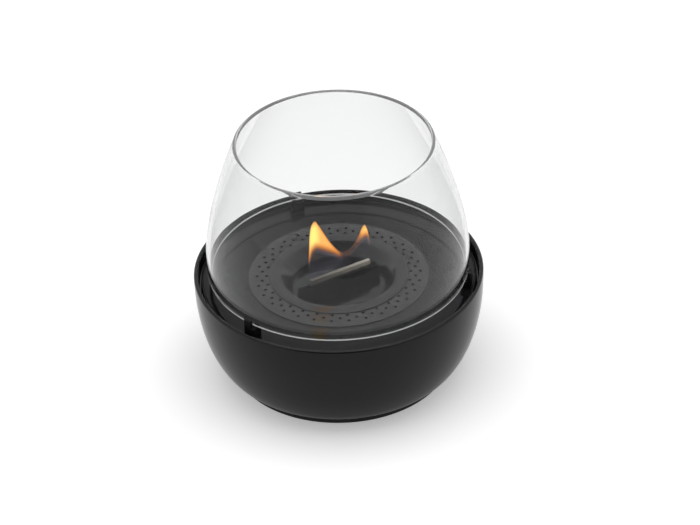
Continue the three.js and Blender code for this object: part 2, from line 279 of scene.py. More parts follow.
def finish_mesh(name, verts, faces, crease_degrees=40):
    mesh = bpy.data.meshes.new(name)
    mesh.from_pydata([tuple(v) for v in verts], [], faces)
    mesh.validate()
    shape = bmesh.new()
    shape.from_mesh(mesh)
    bmesh.ops.recalc_face_normals(shape, faces=shape.faces)
    shape.to_mesh(mesh)
    shape.free()
    mesh.shade_smooth()
    mesh.set_sharp_from_angle(angle=math.radians(crease_degrees))
    piece = bpy.data.objects.new(name, mesh)
    bpy.context.scene.collection.objects.link(piece)
    return piece


def turned(name, outline, sides=192, crease_degrees=40):
    """A solid turned about Z from an outline that closes on itself or ends on the axis."""
    closed = outline[0][0] > 0
    verts, rows = [], []
    for radius, level in outline:
        if radius <= 0:
            rows.append([len(verts)] * sides)
            verts.append((0, 0, level))
            continue
        rows.append(list(range(len(verts), len(verts) + sides)))
        for k in range(sides):
            turn = 2 * math.pi * k / sides
            verts.append((radius * math.cos(turn), radius * math.sin(turn), level))
    pairs = list(zip(rows, rows[1:] + rows[:1])) if closed else list(zip(rows, rows[1:]))
    faces = []
    for low, high in pairs:
        for k in range(sides):
            n = (k + 1) % sides
            corner = [low[k], low[n], high[n], high[k]]
            face = [v for i, v in enumerate(corner) if v not in corner[:i]]
            if len(face) > 2:
                faces.append(face)
    return finish_mesh(name, verts, faces, crease_degrees)


def extruded(name, outline, width, crease_degrees=40):
    """An outline in X and Z, extruded along Y and centred there."""
    count = len(outline)
    verts = [(x, -width / 2, z) for x, z in outline] + [(x, width / 2, z) for x, z in outline]
    faces = [list(range(count)), list(range(2 * count - 1, count - 1, -1))]
    for i in range(count):
        n = (i + 1) % count
        faces.append([i, i + count, n + count, n])
    return finish_mesh(name, verts, faces, crease_degrees)


def block(x0, x1, y0, y1, z0, z1):
    """A cutting tool: a box between the given sides."""
    piece = extruded("block", [(x0, z0), (x1, z0), (x1, z1), (x0, z1)], y1 - y0)
    piece.data.transform(Matrix.Translation((0, (y0 + y1) / 2, 0)))
    return piece


def apply_modifiers(piece):
    shown = bpy.context.evaluated_depsgraph_get()
    mesh = bpy.data.meshes.new_from_object(piece.evaluated_get(shown))
    piece.modifiers.clear()
    piece.data = mesh
    return piece


def bevelled(piece, width, segments):
    bevel = piece.modifiers.new("edges", "BEVEL")
    bevel.width = width
    bevel.segments = segments
    bevel.limit_method = "ANGLE"
    bevel.harden_normals = True
    return apply_modifiers(piece)


def drilled(piece, tools):
    """Cuts the tools out of the piece and deletes them."""
    group = bpy.data.collections.new("drills")
    for tool in tools:
        bpy.context.scene.collection.objects.unlink(tool)
        group.objects.link(tool)
    cut = piece.modifiers.new("holes", "BOOLEAN")
    cut.operation = "DIFFERENCE"
    cut.operand_type = "COLLECTION"
    cut.collection = group
    cut.solver = "EXACT"
    apply_modifiers(piece)
    for tool in tools:
        bpy.data.objects.remove(tool)
    bpy.data.collections.remove(group)
    return piece


def place(piece, turn=0.0, x=0.0, y=0.0):
    """Moves the mesh itself, so that the object stays at the frame's origin."""
    piece.data.transform(Matrix.Translation((x, y, 0)) @ Matrix.Rotation(turn, 4, "Z"))
    return piece


def bearing(azimuth):
    """Direction of an azimuth that is counted from the front towards the left."""
    return math.radians(-90 - azimuth)


# Materials


class Net:
    """The nodes of a material or of the world, with short calls for the ones used here."""

    def __init__(self, tree):
        self.tree = tree

    def node(self, kind, **values):
        made = self.tree.nodes.new(kind)
        for name, value in values.items():
            setattr(made, name, value)
        return made

    def link(self, source, target):
        self.tree.links.new(source, target)

    def spread(self, source, low, high, from_low=0.3, from_high=0.7, interpolation="LINEAR"):
        """Maps a value between two limits to a range."""
        made = self.node("ShaderNodeMapRange", interpolation_type=interpolation)
        for name, value in (
            ("From Min", from_low),
            ("From Max", from_high),
            ("To Min", low),
            ("To Max", high),
        ):
            made.inputs[name].default_value = value
        self.link(source, made.inputs["Value"])
        return made.outputs["Result"]

    def math(self, operation, *terms, clamp=False):
        """A sum, product or the like of sockets and plain numbers."""
        made = self.node("ShaderNodeMath", operation=operation, use_clamp=clamp)
        for socket, term in zip(made.inputs, terms):
            if isinstance(term, bpy.types.NodeSocket):
                self.link(term, socket)
            else:
                socket.default_value = term
        return made.outputs[0]

    def axes(self, place):
        """The X, Y and Z of a place, as a list of sockets."""
        made = self.node("ShaderNodeSeparateXYZ")
        self.link(place, made.inputs["Vector"])
        return list(made.outputs)

    def mixed(self, factor, first, second):
        """Two shaders mixed by a factor."""
        made = self.node("ShaderNodeMixShader")
        for socket, source in zip(made.inputs, (factor, first, second)):
            self.link(source, socket)
        return made.outputs["Shader"]


class Paint(Net):
    """One node-based material round a Principled BSDF."""

    def __init__(self, name):
        self.material = bpy.data.materials.new(name)
        self.material.use_nodes = True
        super().__init__(self.material.node_tree)
        self.surface = self.tree.nodes["Principled BSDF"]
        self.output = self.tree.nodes["Material Output"]
        self.place = self.node("ShaderNodeTexCoord").outputs["Object"]

    def set(self, **values):
        for name, value in values.items():
            socket = self.surface.inputs[name.replace("_", " ")]
            socket.default_value = (*value, 1) if hasattr(value, "__len__") else value

    def noise(self, size, detail=3.0, roughness=0.5, stretch=(1, 1, 1)):
        """Noise whose grain is about size metres."""
        mapping = self.node("ShaderNodeMapping")
        mapping.inputs["Scale"].default_value = [s / size for s in stretch]
        self.link(self.place, mapping.inputs["Vector"])
        texture = self.node("ShaderNodeTexNoise")
        texture.inputs["Scale"].default_value = 1.0
        texture.inputs["Detail"].default_value = detail
        texture.inputs["Roughness"].default_value = roughness
        self.link(mapping.outputs["Vector"], texture.inputs["Vector"])
        return texture.outputs["Fac"]

    def blend(self, factor, first, second):
        """Two colours mixed by a factor."""
        made = self.node("ShaderNodeMix", data_type="RGBA")
        for socket, value in ((made.inputs["A"], first), (made.inputs["B"], second)):
            if isinstance(value, bpy.types.NodeSocket):
                self.link(value, socket)
            else:
                socket.default_value = (*value, 1)
        self.link(factor, made.inputs["Factor"])
        return made.outputs["Result"]

    def bump(self, height, distance):
        """A relief whose highest places stand out by the distance, in metres."""
        made = self.node("ShaderNodeBump")
        made.inputs["Distance"].default_value = distance
        made.inputs["Strength"].default_value = 1.0
        self.link(height, made.inputs["Height"])
        return made.outputs["Normal"]

    def drive(self, **sources):
        for name, source in sources.items():
            self.link(source, self.surface.inputs[name.replace("_", " ")])


def scaled(tint, factor):
    return tuple(min(1.0, channel * factor) for channel in tint)


def black_glaze(tint):
    """Fired glaze: clouded, glossy, and a little uneven like thick enamel."""
    paint = Paint("black_glaze")
    paint.set(IOR=1.5, Specular_IOR_Level=0.22)
    cloud = paint.noise(30 * MM, detail=4)
    paint.drive(
        Base_Color=paint.blend(paint.spread(cloud, 0, 1), scaled(tint, 0.8), scaled(tint, 1.35)),
        Roughness=paint.spread(paint.noise(4 * MM), 0.07, 0.11),
        Normal=paint.bump(paint.noise(6 * MM, detail=1), 0.02 * MM),
    )
    return paint.material


def soft_rubber(tint):
    paint = Paint("black_rubber")
    grain = paint.noise(0.6 * MM, detail=5)
    paint.drive(
        Base_Color=paint.blend(grain, scaled(tint, 0.7), scaled(tint, 1.6)),
        Roughness=paint.spread(paint.noise(3 * MM), 0.62, 0.8),
        Normal=paint.bump(grain, 0.05 * MM),
    )
    return paint.material


def baked_enamel(name, tint, gloss):
    """Baked stove enamel on steel sheet, with a faint orange peel."""
    paint = Paint(name)
    paint.set(IOR=1.5, Specular_IOR_Level=gloss)
    cloud = paint.noise(14 * MM, detail=4)
    peel = paint.noise(5 * MM, detail=1)
    paint.drive(
        Base_Color=paint.blend(paint.spread(cloud, 0, 1), scaled(tint, 0.85), scaled(tint, 1.2)),
        Roughness=paint.spread(cloud, 0.1, 0.15),
        Normal=paint.bump(peel, 0.01 * MM),
    )
    return paint.material


def clip_coat(tint):
    paint = Paint("clip_coat")
    grain = paint.noise(0.4 * MM, detail=4)
    paint.set(Specular_IOR_Level=0.12)
    paint.drive(
        Base_Color=paint.blend(grain, scaled(tint, 0.6), scaled(tint, 1.6)),
        Roughness=paint.spread(grain, 0.42, 0.6),
        Normal=paint.bump(grain, 0.03 * MM),
    )
    return paint.material


def zinc_steel():
    paint = Paint("zinc_steel")
    paint.set(Metallic=1.0)
    streak = paint.noise(0.8 * MM, detail=4, stretch=(1, 1, 0.06))
    paint.drive(
        Base_Color=paint.blend(streak, (0.42, 0.42, 0.41), (0.62, 0.62, 0.6)),
        Roughness=paint.spread(streak, 0.26, 0.42),
        Normal=paint.bump(streak, 0.01 * MM),
    )
    return paint.material


def fibre_board(fibre, soaked_and_shaded, top):
    """Dry along its top edge, paler towards its right end as painted light, and dark below the top
    edge, partly where the fuel soaks it and partly as painted shade down in the well.
    """
    paint = Paint("wick_fibre")
    strand = paint.noise(0.9 * MM, detail=6, roughness=0.65, stretch=(1, 1, 0.5))
    patch = paint.noise(7 * MM, detail=3)
    x, _, z = paint.axes(paint.place)
    # Painted light: the board's colour is scaled up towards the strip's right end.
    painted_light_right = paint.spread(x, 0.55, 2.3, -20 * MM, 22 * MM)
    depth = paint.spread(z, 1.0, 0.0, top - 4.4 * MM, top - 3.0 * MM)
    # Below the top edge the board turns dark: partly the fuel's soak, partly painted shade down in
    # the well.
    soak_and_shade_mask = paint.math("MULTIPLY", depth, paint.spread(patch, 0.8, 1.3), clamp=True)
    board = paint.blend(strand, scaled(fibre, 0.6), scaled(fibre, 1.35))
    lit_board = paint.node("ShaderNodeVectorMath", operation="SCALE")
    paint.link(board, lit_board.inputs[0])
    paint.link(painted_light_right, lit_board.inputs["Scale"])
    paint.drive(
        Base_Color=paint.blend(soak_and_shade_mask, lit_board.outputs[0], soaked_and_shaded),
        Roughness=paint.spread(strand, 0.85, 0.98),
        Normal=paint.bump(strand, 0.25 * MM),
    )
    return paint.material


def lets_lamps_through(paint, shade):
    """Mixes in a clear film for rays from lamps, so that they reach what is behind the glass."""
    path = paint.node("ShaderNodeLightPath")
    film = paint.node("ShaderNodeBsdfTransparent")
    film.inputs["Color"].default_value = (shade, shade, shade, 1)
    mix = paint.mixed(
        path.outputs["Is Shadow Ray"], paint.surface.outputs["BSDF"], film.outputs["BSDF"]
    )
    paint.link(mix, paint.output.inputs["Surface"])


def clear_glass(name, tint, clarity):
    paint = Paint(name)
    paint.set(Base_Color=tint, Roughness=0.0, IOR=1.3, Transmission_Weight=clarity)
    wave = paint.noise(40 * MM, detail=1)
    paint.drive(Normal=paint.bump(wave, 0.12 * MM))
    lets_lamps_through(paint, 0.93)
    return paint.material


def ground_glass():
    """The frosted lower edge, where the shade was cut and ground flat."""
    paint = Paint("ground_glass")
    grain = paint.noise(0.3 * MM, detail=3)
    paint.drive(
        Base_Color=paint.blend(grain, (0.36, 0.37, 0.37), (0.5, 0.51, 0.51)),
        Roughness=paint.spread(grain, 0.5, 0.7),
        Normal=paint.bump(grain, 0.02 * MM),
    )
    return paint.material


def clear_fuel(tint):
    paint = Paint("fuel")
    paint.set(Base_Color=tint, Roughness=0.0, IOR=1.36, Transmission_Weight=1.0)
    ripple = paint.noise(18 * MM, detail=1)
    paint.drive(Normal=paint.bump(ripple, 0.02 * MM))
    lets_lamps_through(paint, 0.9)
    return paint.material


def flame_glow(strength):
    """A glow whose colour and density follow the flame mesh's own warmth and body."""
    paint = Paint("flame")
    paint.tree.nodes.remove(paint.surface)
    warmth = paint.node("ShaderNodeAttribute", attribute_name="warmth").outputs["Fac"]
    body = paint.node("ShaderNodeAttribute", attribute_name="body").outputs["Fac"]
    ramp = paint.node("ShaderNodeValToRGB")
    steps = (
        (0.0, (0.28, 0.27, 0.38)),
        (0.2, (0.30, 0.10, 0.04)),
        (0.45, (0.84, 0.30, 0.055)),
        (0.7, (1.0, 0.5, 0.13)),
        (1.0, (1.0, 0.86, 0.22)),
    )
    ramp.color_ramp.elements[0].position = steps[0][0]
    ramp.color_ramp.elements[1].position = steps[-1][0]
    for position, _ in steps[1:-1]:
        ramp.color_ramp.elements.new(position)
    for element, (_, tint) in zip(ramp.color_ramp.elements, steps):
        element.color = (*tint, 1)
    paint.link(warmth, ramp.inputs["Fac"])
    glow = paint.node("ShaderNodeEmission")
    glow.inputs["Strength"].default_value = strength
    paint.link(ramp.outputs["Color"], glow.inputs["Color"])
    film = paint.node("ShaderNodeBsdfTransparent")
    mix = paint.mixed(body, film.outputs["BSDF"], glow.outputs["Emission"])
    paint.link(mix, paint.output.inputs["Surface"])
    return paint.material


def dress(piece, material, slot, body, *nodes):
    """Gives a piece its finish and its body, and hides the CAD nodes that it stands for."""
    piece.data.materials.clear()
    piece.data.materials.append(material)
    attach(piece, body)
    if nodes:
        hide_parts(*nodes)
    return piece


def material_once(name, make, *values):
    """The material of that name, made the first time that it is asked for."""
    return bpy.data.materials.get(name) or make(*values)


def burner_enamel(scene):
    """The brighter coat that the burner cup and the wick's holder share."""
    name = "burner_enamel"
    return material_once(name, baked_enamel, name, scene.fire_deck.enamel, scene.fire_burner.gloss)


def dress_node(node, material):
    """Gives a carried-over CAD node its finish."""
    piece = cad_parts[node]
    piece.data.materials.clear()
    piece.data.materials.append(material)
    piece.data.shade_smooth()
    piece.data.set_sharp_from_angle(angle=math.radians(35))


class BuildBowl(bpy.types.Operator):
    """Builds the glazed bowl with its rounded rim and the ledge that carries the deck"""

    bl_idname = "fire.build_bowl"
    bl_label = "Bowl"

    def execute(self, context):
        s = context.scene.fire_bowl
        round_radius = s.rim_width / 2
        rim = (s.radius - round_radius, s.height - round_radius)
        corner = 0.9 * MM
        side, _ = bezier(
            (s.base_radius + 0.4 * MM, s.base + 0.5 * MM),
            (s.base_radius + s.base_turn, s.base + s.base_lift),
            (s.radius, s.base + s.belly),
            (s.radius, s.height - s.rim_depth),
            64,
        )
        lip = arc(rim, round_radius, 0, 180, 32)
        inner = s.radius - s.rim_width
        ledge = inner - s.ledge_width
        nook = 1 * MM
        nosing = 0.6 * MM
        floor = s.base + s.floor
        floor_edge = s.base_radius - s.floor_inset
        inside, _ = bezier(
            (ledge, s.ledge - nosing),
            (ledge, floor + s.cavity_rise),
            (floor_edge + s.cavity_turn, floor),
            (floor_edge, floor),
            32,
        )
        outline = [
            Vector((0, s.base)),
            Vector((s.base_radius - corner, s.base)),
            Vector((s.base_radius - corner * 0.4, s.base + corner * 0.12)),
            *side,
            *lip,
            *arc((inner - nook, s.ledge + nook), nook, 0, -90, 5),
            *arc((ledge + nosing, s.ledge - nosing), nosing, 90, 180, 4),
            *inside[1:],
            Vector((0, floor)),
        ]
        bowl = turned("bowl_shell", outline, 256)
        dress(bowl, black_glaze(s.glaze), "black_glaze", "base", "bowl")
        return {"FINISHED"}


class BuildFoot(bpy.types.Operator):
    """Builds the rubber ring that the bowl stands on, and finishes the deck's gasket"""

    bl_idname = "fire.build_foot"
    bl_label = "Foot ring and gasket"

    def execute(self, context):
        s = context.scene.fire_foot
        inner = s.radius - s.width
        edge = 0.5 * MM
        outline = filleted(
            [
                (inner, 0, edge),
                (s.radius, 0, edge),
                (s.radius, s.top, edge),
                (inner, s.top, edge),
            ]
        )
        rubber = material_once("black_rubber", soft_rubber, s.rubber)
        dress(turned("foot_band", outline), rubber, "black_rubber", "base", "foot_ring")
        dress_node("deck_gasket", rubber)
        return {"FINISHED"}


class BuildDeck(bpy.types.Operator):
    """Builds the steel deck and the perforated air ring that lies on it"""

    bl_idname = "fire.build_deck"
    bl_label = "Deck and air ring"

    def execute(self, context):
        s = context.scene.fire_deck
        enamel = baked_enamel("deck_enamel", s.enamel, s.gloss)
        under = s.top - s.thickness
        wall = s.hole + s.thickness
        cut_edge = 0.3 * MM
        bend = 0.8 * MM
        roll = 1.2 * MM
        fine = 0.1 * MM
        crease_side = 0.4 * MM
        crease_depth = 0.35 * MM
        deck = turned(
            "deck_disc",
            filleted(
                [
                    (s.hole, s.collar, cut_edge),
                    (wall, s.collar, cut_edge),
                    (wall, under, bend),
                    (s.radius, under, fine),
                    (s.radius, s.top - fine, roll),
                    (s.crease + crease_side, s.top - fine, fine),
                    (s.crease, s.top - crease_depth, fine),
                    (s.crease - crease_side, s.top, 2 * fine),
                    (s.hole, s.top, bend),
                ]
            ),
            256,
        )
        dress(deck, enamel, "black_steel", "deck", "deck_plate")

        bottom = s.ring_top - s.ring_thickness
        collar = s.hole - 0.4 * MM
        inner = collar - s.ring_thickness
        burr = 0.15 * MM
        ring = turned(
            "air_ring_disc",
            filleted(
                [
                    (s.ring_hole, bottom, burr),
                    (inner, bottom, 0),
                    (inner, RING_LOW.z, 2 * fine),
                    (collar, RING_LOW.z, 2 * fine),
                    (collar, bottom, 0),
                    (s.ring_radius, bottom, burr),
                    (s.ring_radius, s.ring_top, 3 * burr),
                    (s.ring_hole, s.ring_top, 2 * burr),
                ],
                4,
            ),
            240,
        )
        drilled(ring, self.drills(s, bottom))
        ring.data.set_sharp_from_angle(angle=math.radians(40))
        ring_enamel = baked_enamel("ring_enamel", s.ring_enamel, s.ring_gloss)
        dress(ring, ring_enamel, "black_steel", "vent", "air_ring")
        # Painted shade: the air holes' walls take the darker deck enamel, so that the holes read
        # dark.
        ring.data.materials.append(enamel)
        for face in ring.data.polygons:
            if self.in_hole(s, face):
                face.material_index = 1
        return {"FINISHED"}

    def in_hole(self, s, face):
        """Whether a face is the wall of an air hole, which takes the darker deck enamel as painted
        shade inside the hole.
        """
        reach = s.air_pitch + 2 * s.air_hole
        return abs(face.normal.z) < 0.9 and abs(face.center.xy.length - s.air_row) < reach

    def drills(self, s, bottom):
        """Drill bodies for three staggered rows, each a little wider at the top face."""
        over = 1 * MM
        relief = 0.25 * MM
        outline = [
            (0, bottom - over),
            (s.air_hole, bottom - over),
            (s.air_hole, s.ring_top - relief),
            (s.air_hole + relief, s.ring_top),
            (s.air_hole + relief, s.ring_top + over),
            (0, s.ring_top + over),
        ]
        made = []
        for row in (-1, 0, 1):
            for k in range(s.air_count):
                turn = bearing(360 * (k + (0.5 if row else 0)) / s.air_count)
                radius = s.air_row + row * s.air_pitch
                tool = turned("drill", outline, 20)
                made.append(place(tool, 0, radius * math.cos(turn), radius * math.sin(turn)))
        return made


class BuildBurner(bpy.types.Operator):
    """Builds the burner cup with its flange and funnel, and the fuel in it"""

    bl_idname = "fire.build_burner"
    bl_label = "Burner cup and fuel"

    def execute(self, context):
        s = context.scene.fire_burner
        enamel = burner_enamel(context.scene)
        wall = s.wall
        under = s.top - wall
        funnel = s.top - s.funnel
        floor = s.bottom + wall
        heel = 2.2 * MM
        floor_bend = 1.6 * MM
        funnel_bend = 1.5 * MM
        mouth_bend = 1.1 * MM
        under_bend = 0.6 * MM
        burr = 0.2 * MM
        flange_edge = 0.5 * MM
        outline = filleted(
            [
                (0, s.bottom, 0),
                (s.well + wall, s.bottom, heel),
                (s.well + wall, funnel - wall / 2, funnel_bend),
                (s.mouth + wall, under, under_bend),
                (s.flange, under, burr),
                (s.flange, s.top, flange_edge),
                (s.mouth, s.top, mouth_bend),
                (s.well, funnel, funnel_bend),
                (s.well, floor, floor_bend),
                (0, floor, 0),
            ],
            6,
        )
        dress(turned("burner_cup", outline), enamel, "black_steel", "burner", "fuel_cup")

        # The liquid reaches a little into the cup's wall and floor, so that no air shows between.
        bite = 0.2 * MM
        rise = 0.5 * MM
        slope = (s.mouth - s.well) / s.funnel
        edge = s.well + bite + max(0.0, s.fuel_level - (s.top - s.funnel)) * slope
        meniscus = [
            Vector((edge - 3 * MM * (1 - k / 8), s.fuel_level + rise * (k / 8) ** 3))
            for k in range(9)
        ]
        fuel_outline = [
            Vector((0, floor - bite)),
            Vector((s.well + bite - 2 * MM, floor - bite)),
            Vector((s.well + bite, floor + 2 * MM)),
            Vector((s.well + bite, s.top - s.funnel)),
            *reversed(meniscus),
            Vector((0, s.fuel_level)),
        ]
        fuel = turned("fuel", fuel_outline, 160, 70)
        dress(fuel, clear_fuel(s.fuel_tint), "clear_glass", "burner")
        return {"FINISHED"}


def outline_at(points, x):
    """A smooth curve through (x, value) points, read at x."""
    xs = [p[0] for p in points]
    ys = [p[1] for p in points]
    if x <= xs[0]:
        return ys[0]
    for i in range(len(xs) - 1):
        if x <= xs[i + 1]:
            break
    span = xs[i + 1] - xs[i]
    t = (x - xs[i]) / span

    def slope(j):
        if j == 0 or j == len(xs) - 1:
            a, b = (0, 1) if j == 0 else (-2, -1)
            return (ys[b] - ys[a]) / (xs[b] - xs[a])
        left = (ys[j] - ys[j - 1]) / (xs[j] - xs[j - 1])
        right = (ys[j + 1] - ys[j]) / (xs[j + 1] - xs[j])
        return 0 if left * right <= 0 else 2 * left * right / (left + right)

    m0, m1 = slope(i) * span, slope(i + 1) * span
    return (
        (2 * t**3 - 3 * t**2 + 1) * ys[i]
        + (t**3 - 2 * t**2 + t) * m0
        + (3 * t**2 - 2 * t**3) * ys[i + 1]
        + (t**3 - t**2) * m1
    )


def ease(t):
    t = min(1.0, max(0.0, t))
    return t * t * (3 - 2 * t)


# The flame over the strip, in millimetres: place along the strip, height above its top edge
FLAME_TOP = (
    (-27.2, 18),
    (-26.4, 27),
    (-24, 42),
    (-21.8, 49.5),
    (-19.2, 52.3),
    (-16, 47.5),
    (-11.5, 38.5),
    (-8.1, 31.5),
    (-3.5, 23.6),
    (1.1, 17.4),
    (5, 14.4),
    (10, 15.2),
    (15, 19),
    (20, 27.5),
    (22.5, 32.2),
    (24.9, 33.8),
    (27, 29.5),
    (29.3, 14),
    (30, 3),
)
FLAME_HOLLOW = (
    (-27.2, 15),
    (-26, 21),
    (-24.6, 25.5),
    (-21, 28.3),
    (-15.4, 25),
    (-8.1, 19.8),
    (-3.5, 16.3),
    (1.1, 12.5),
    (5, 11.8),
    (10, 12.8),
    (15, 16.5),
    (20, 21.8),
    (23.5, 23.6),
    (26.5, 22.5),
    (28.5, 17.5),
    (29.3, 15),
    (30, 6),
)
# Its hottest places: along the strip, height, reach along, reach up, share of the full heat
FLAME_CORES = ((-22.5, 41, 7, 15, 1.0), (23.5, 29.5, 5, 7, 0.55))


def flame_lit(along, rise):
    """From 0 in the flame's hollow to 1 in its bright part."""
    return ease((rise - outline_at(FLAME_HOLLOW, along) + 4) / 12)


def flame_warmth(along, rise, top):
    """How hot the flame looks: warmer along its rim, and hottest at its cores."""
    rim = ease((top - rise) / 5)
    core = max(
        heat * ease(1.25 - math.hypot((along - x) / wide, (rise - z) / tall))
        for x, z, wide, tall, heat in FLAME_CORES
    )
    return flame_lit(along, rise) * (0.45 + 0.22 * rim + 0.33 * core)


def flame_body(along, rise, top):
    """How much the flame hides: a faint root on the left, and a thin waist between its tongues."""
    root = 0.022 * ease(rise / 4) * ease((20 - rise) / 14) * ease((12 - along) / 12)
    waist = 0.35 + 0.65 * ease((abs(along - 8.5) - 3) / 7)
    soft_edge = 0.35 + 0.65 * ease((top - rise) / 2.2)
    return (0.006 + root + 0.9 * flame_lit(along, rise) * waist) * soft_edge


class BuildWick(bpy.types.Operator):
    """Builds the strip wick, finishes its holder and sets the flame over it"""

    bl_idname = "fire.build_wick"
    bl_label = "Wick, holder and flame"

    def execute(self, context):
        s = context.scene.fire_wick
        wick = self.strip(s)
        board = fibre_board(s.fibre, s.soaked_and_shaded, s.top)
        dress(wick, board, "wick_fibre", "wick_unit", "wick")
        dress_node("wick_holder", burner_enamel(context.scene))
        flame = self.flame(s)
        dress(flame, flame_glow(s.flame_light), "wick_fibre", "wick_unit")
        return {"FINISHED"}

    def strip(self, s):
        """A box of fine faces whose skin is roughened like felted fibre."""
        step = 0.7 * MM
        counts = [
            max(3, round(size / step)) for size in (s.length, s.thickness, s.top - s.bottom)
        ]
        shape = bmesh.new()
        bmesh.ops.create_cube(shape, size=1)
        for axis, count in enumerate(counts):
            edges = [
                e
                for e in shape.edges
                if abs((e.verts[0].co - e.verts[1].co)[axis]) > 0.9
            ]
            bmesh.ops.subdivide_edges(shape, edges=edges, cuts=count - 1, use_grid_fill=True)
        middle = Vector((0, 0, (s.top + s.bottom) / 2))
        size = Vector((s.length, s.thickness, s.top - s.bottom))
        edge = 0.5 * MM
        skin = 0.12 * MM
        grain = ((900, 0.09 * MM), (260, 0.1 * MM))  # waves to a metre, and their depth
        for vert in shape.verts:
            co = Vector([c * d for c, d in zip(vert.co, size)])
            inner = Vector([max(-d / 2 + edge, min(d / 2 - edge, c)) for c, d in zip(co, size)])
            out = (co - inner).normalized()
            if out.length > 0:
                co = inner + out * edge
                rough = sum(noise.noise(co * pitch) * depth for pitch, depth in grain)
                co -= out * (skin + rough)
            vert.co = co + middle
        mesh = bpy.data.meshes.new("wick_strip")
        shape.to_mesh(mesh)
        shape.free()
        mesh.shade_smooth()
        piece = bpy.data.objects.new("wick_strip", mesh)
        bpy.context.scene.collection.objects.link(piece)
        return place(place(piece, 0, s.shift), s.turn)

    def flame(self, s):
        """A thin closed curtain of flame, with how hot and how dense it is at each point."""
        columns, rows = 96, 64
        left, right = FLAME_TOP[0][0], FLAME_TOP[-1][0]
        verts, warmth, body = [], [], []
        index = {}

        def add(i, j, side):
            along = left + (right - left) * i / columns
            top = outline_at(FLAME_TOP, along)
            rise = top * j / rows
            end = 1 - abs(2 * i / columns - 1) ** 6
            across = (1 - (j / rows) ** 2.2) ** 0.6 * end**0.5
            taper = 0.55 + 0.45 * ease(rise / 12)
            depth = side * s.flame_depth / 2 * across * taper
            lean = 1.4 * math.sin(rise * 0.09 + along * 0.12) * rise / 40
            verts.append((along * MM, depth + lean * MM, s.top + (rise + 0.4) * MM))
            warmth.append(flame_warmth(along, rise, top))
            body.append(flame_body(along, rise, top))
            return len(verts) - 1

        for side in (1, -1):
            for i in range(columns + 1):
                for j in range(rows + 1):
                    shared = side < 0 and (j == rows or i in (0, columns))
                    index[side, i, j] = index[1, i, j] if shared else add(i, j, side)
        faces = []
        for side in (1, -1):
            for i in range(columns):
                for j in range(rows):
                    ring = [(i, j), (i + 1, j), (i + 1, j + 1), (i, j + 1)]
                    faces.append([index[side, a, b] for a, b in ring][::side])
        for i in range(columns):
            ends = [index[1, i, 0], index[1, i + 1, 0], index[-1, i + 1, 0], index[-1, i, 0]]
            face = [v for k, v in enumerate(ends) if v not in ends[:k]]
            faces.append(face)
        flame = finish_mesh("flame", verts, faces, 180)
        for name, values in (("warmth", warmth), ("body", body)):
            layer = flame.data.attributes.new(name, "FLOAT", "POINT")
            layer.data.foreach_set("value", values)
        return place(flame, s.turn)


class BuildGlass(bpy.types.Operator):
    """Builds the clear shade, open at both ends, with a fire-rounded mouth"""

    bl_idname = "fire.build_glass"
    bl_label = "Glass shade"

    def execute(self, context):
        s = context.scene.fire_glass
        mouth = s.radius - s.taper
        half = s.wall / 2
        rising = Vector((-s.shoulder, s.shoulder_drop)).normalized()
        upper = s.top - half * (1 + rising.x)
        outside, tangents = bezier(
            (s.radius, s.bottom),
            (s.radius + s.swell, s.bottom + s.swell_rise),
            (mouth + s.shoulder, upper - s.shoulder_drop),
            (mouth, upper),
            72,
        )
        inside = [p + Vector((-t.y, t.x)) * s.wall for p, t in zip(outside, tangents)]
        start = math.degrees(math.atan2(-rising.x, rising.y))
        centre = (mouth - rising.y * half, upper + rising.x * half)
        lip = arc(centre, half, start, start + 180, 16)
        edge = 0.5 * MM
        bulge = 0.3 * edge
        foot = [
            Vector((inside[0].x, s.bottom + edge)),
            Vector((inside[0].x + bulge, s.bottom + bulge)),
            Vector((inside[0].x + edge, s.bottom)),
            Vector((outside[0].x - edge, s.bottom)),
            Vector((outside[0].x - bulge, s.bottom + bulge)),
            Vector((outside[0].x, s.bottom + edge)),
        ]
        outline = [*foot, *outside[1:], *lip[1:-1], *reversed(inside[1:])]
        shade = turned("shade", outline, 320, 60)
        glass = clear_glass("clear_glass", s.tint, 1.0)
        dress(shade, glass, "clear_glass", "shade", "glass_shade")
        shade.data.materials.append(ground_glass())
        # Painted highlight: a fifth of the lip is a pale opaque coat, standing in for the sky's
        # reflection along the rim.
        shade.data.materials.append(clear_glass("lip_highlight_glass", s.lip_highlight_tint, 0.8))
        lip_foot = min(p.y for p in lip)
        for face in shade.data.polygons:
            if face.center.z < s.bottom + bulge:
                face.material_index = 1
            elif face.center.z > lip_foot:
                face.material_index = 2
        return {"FINISHED"}


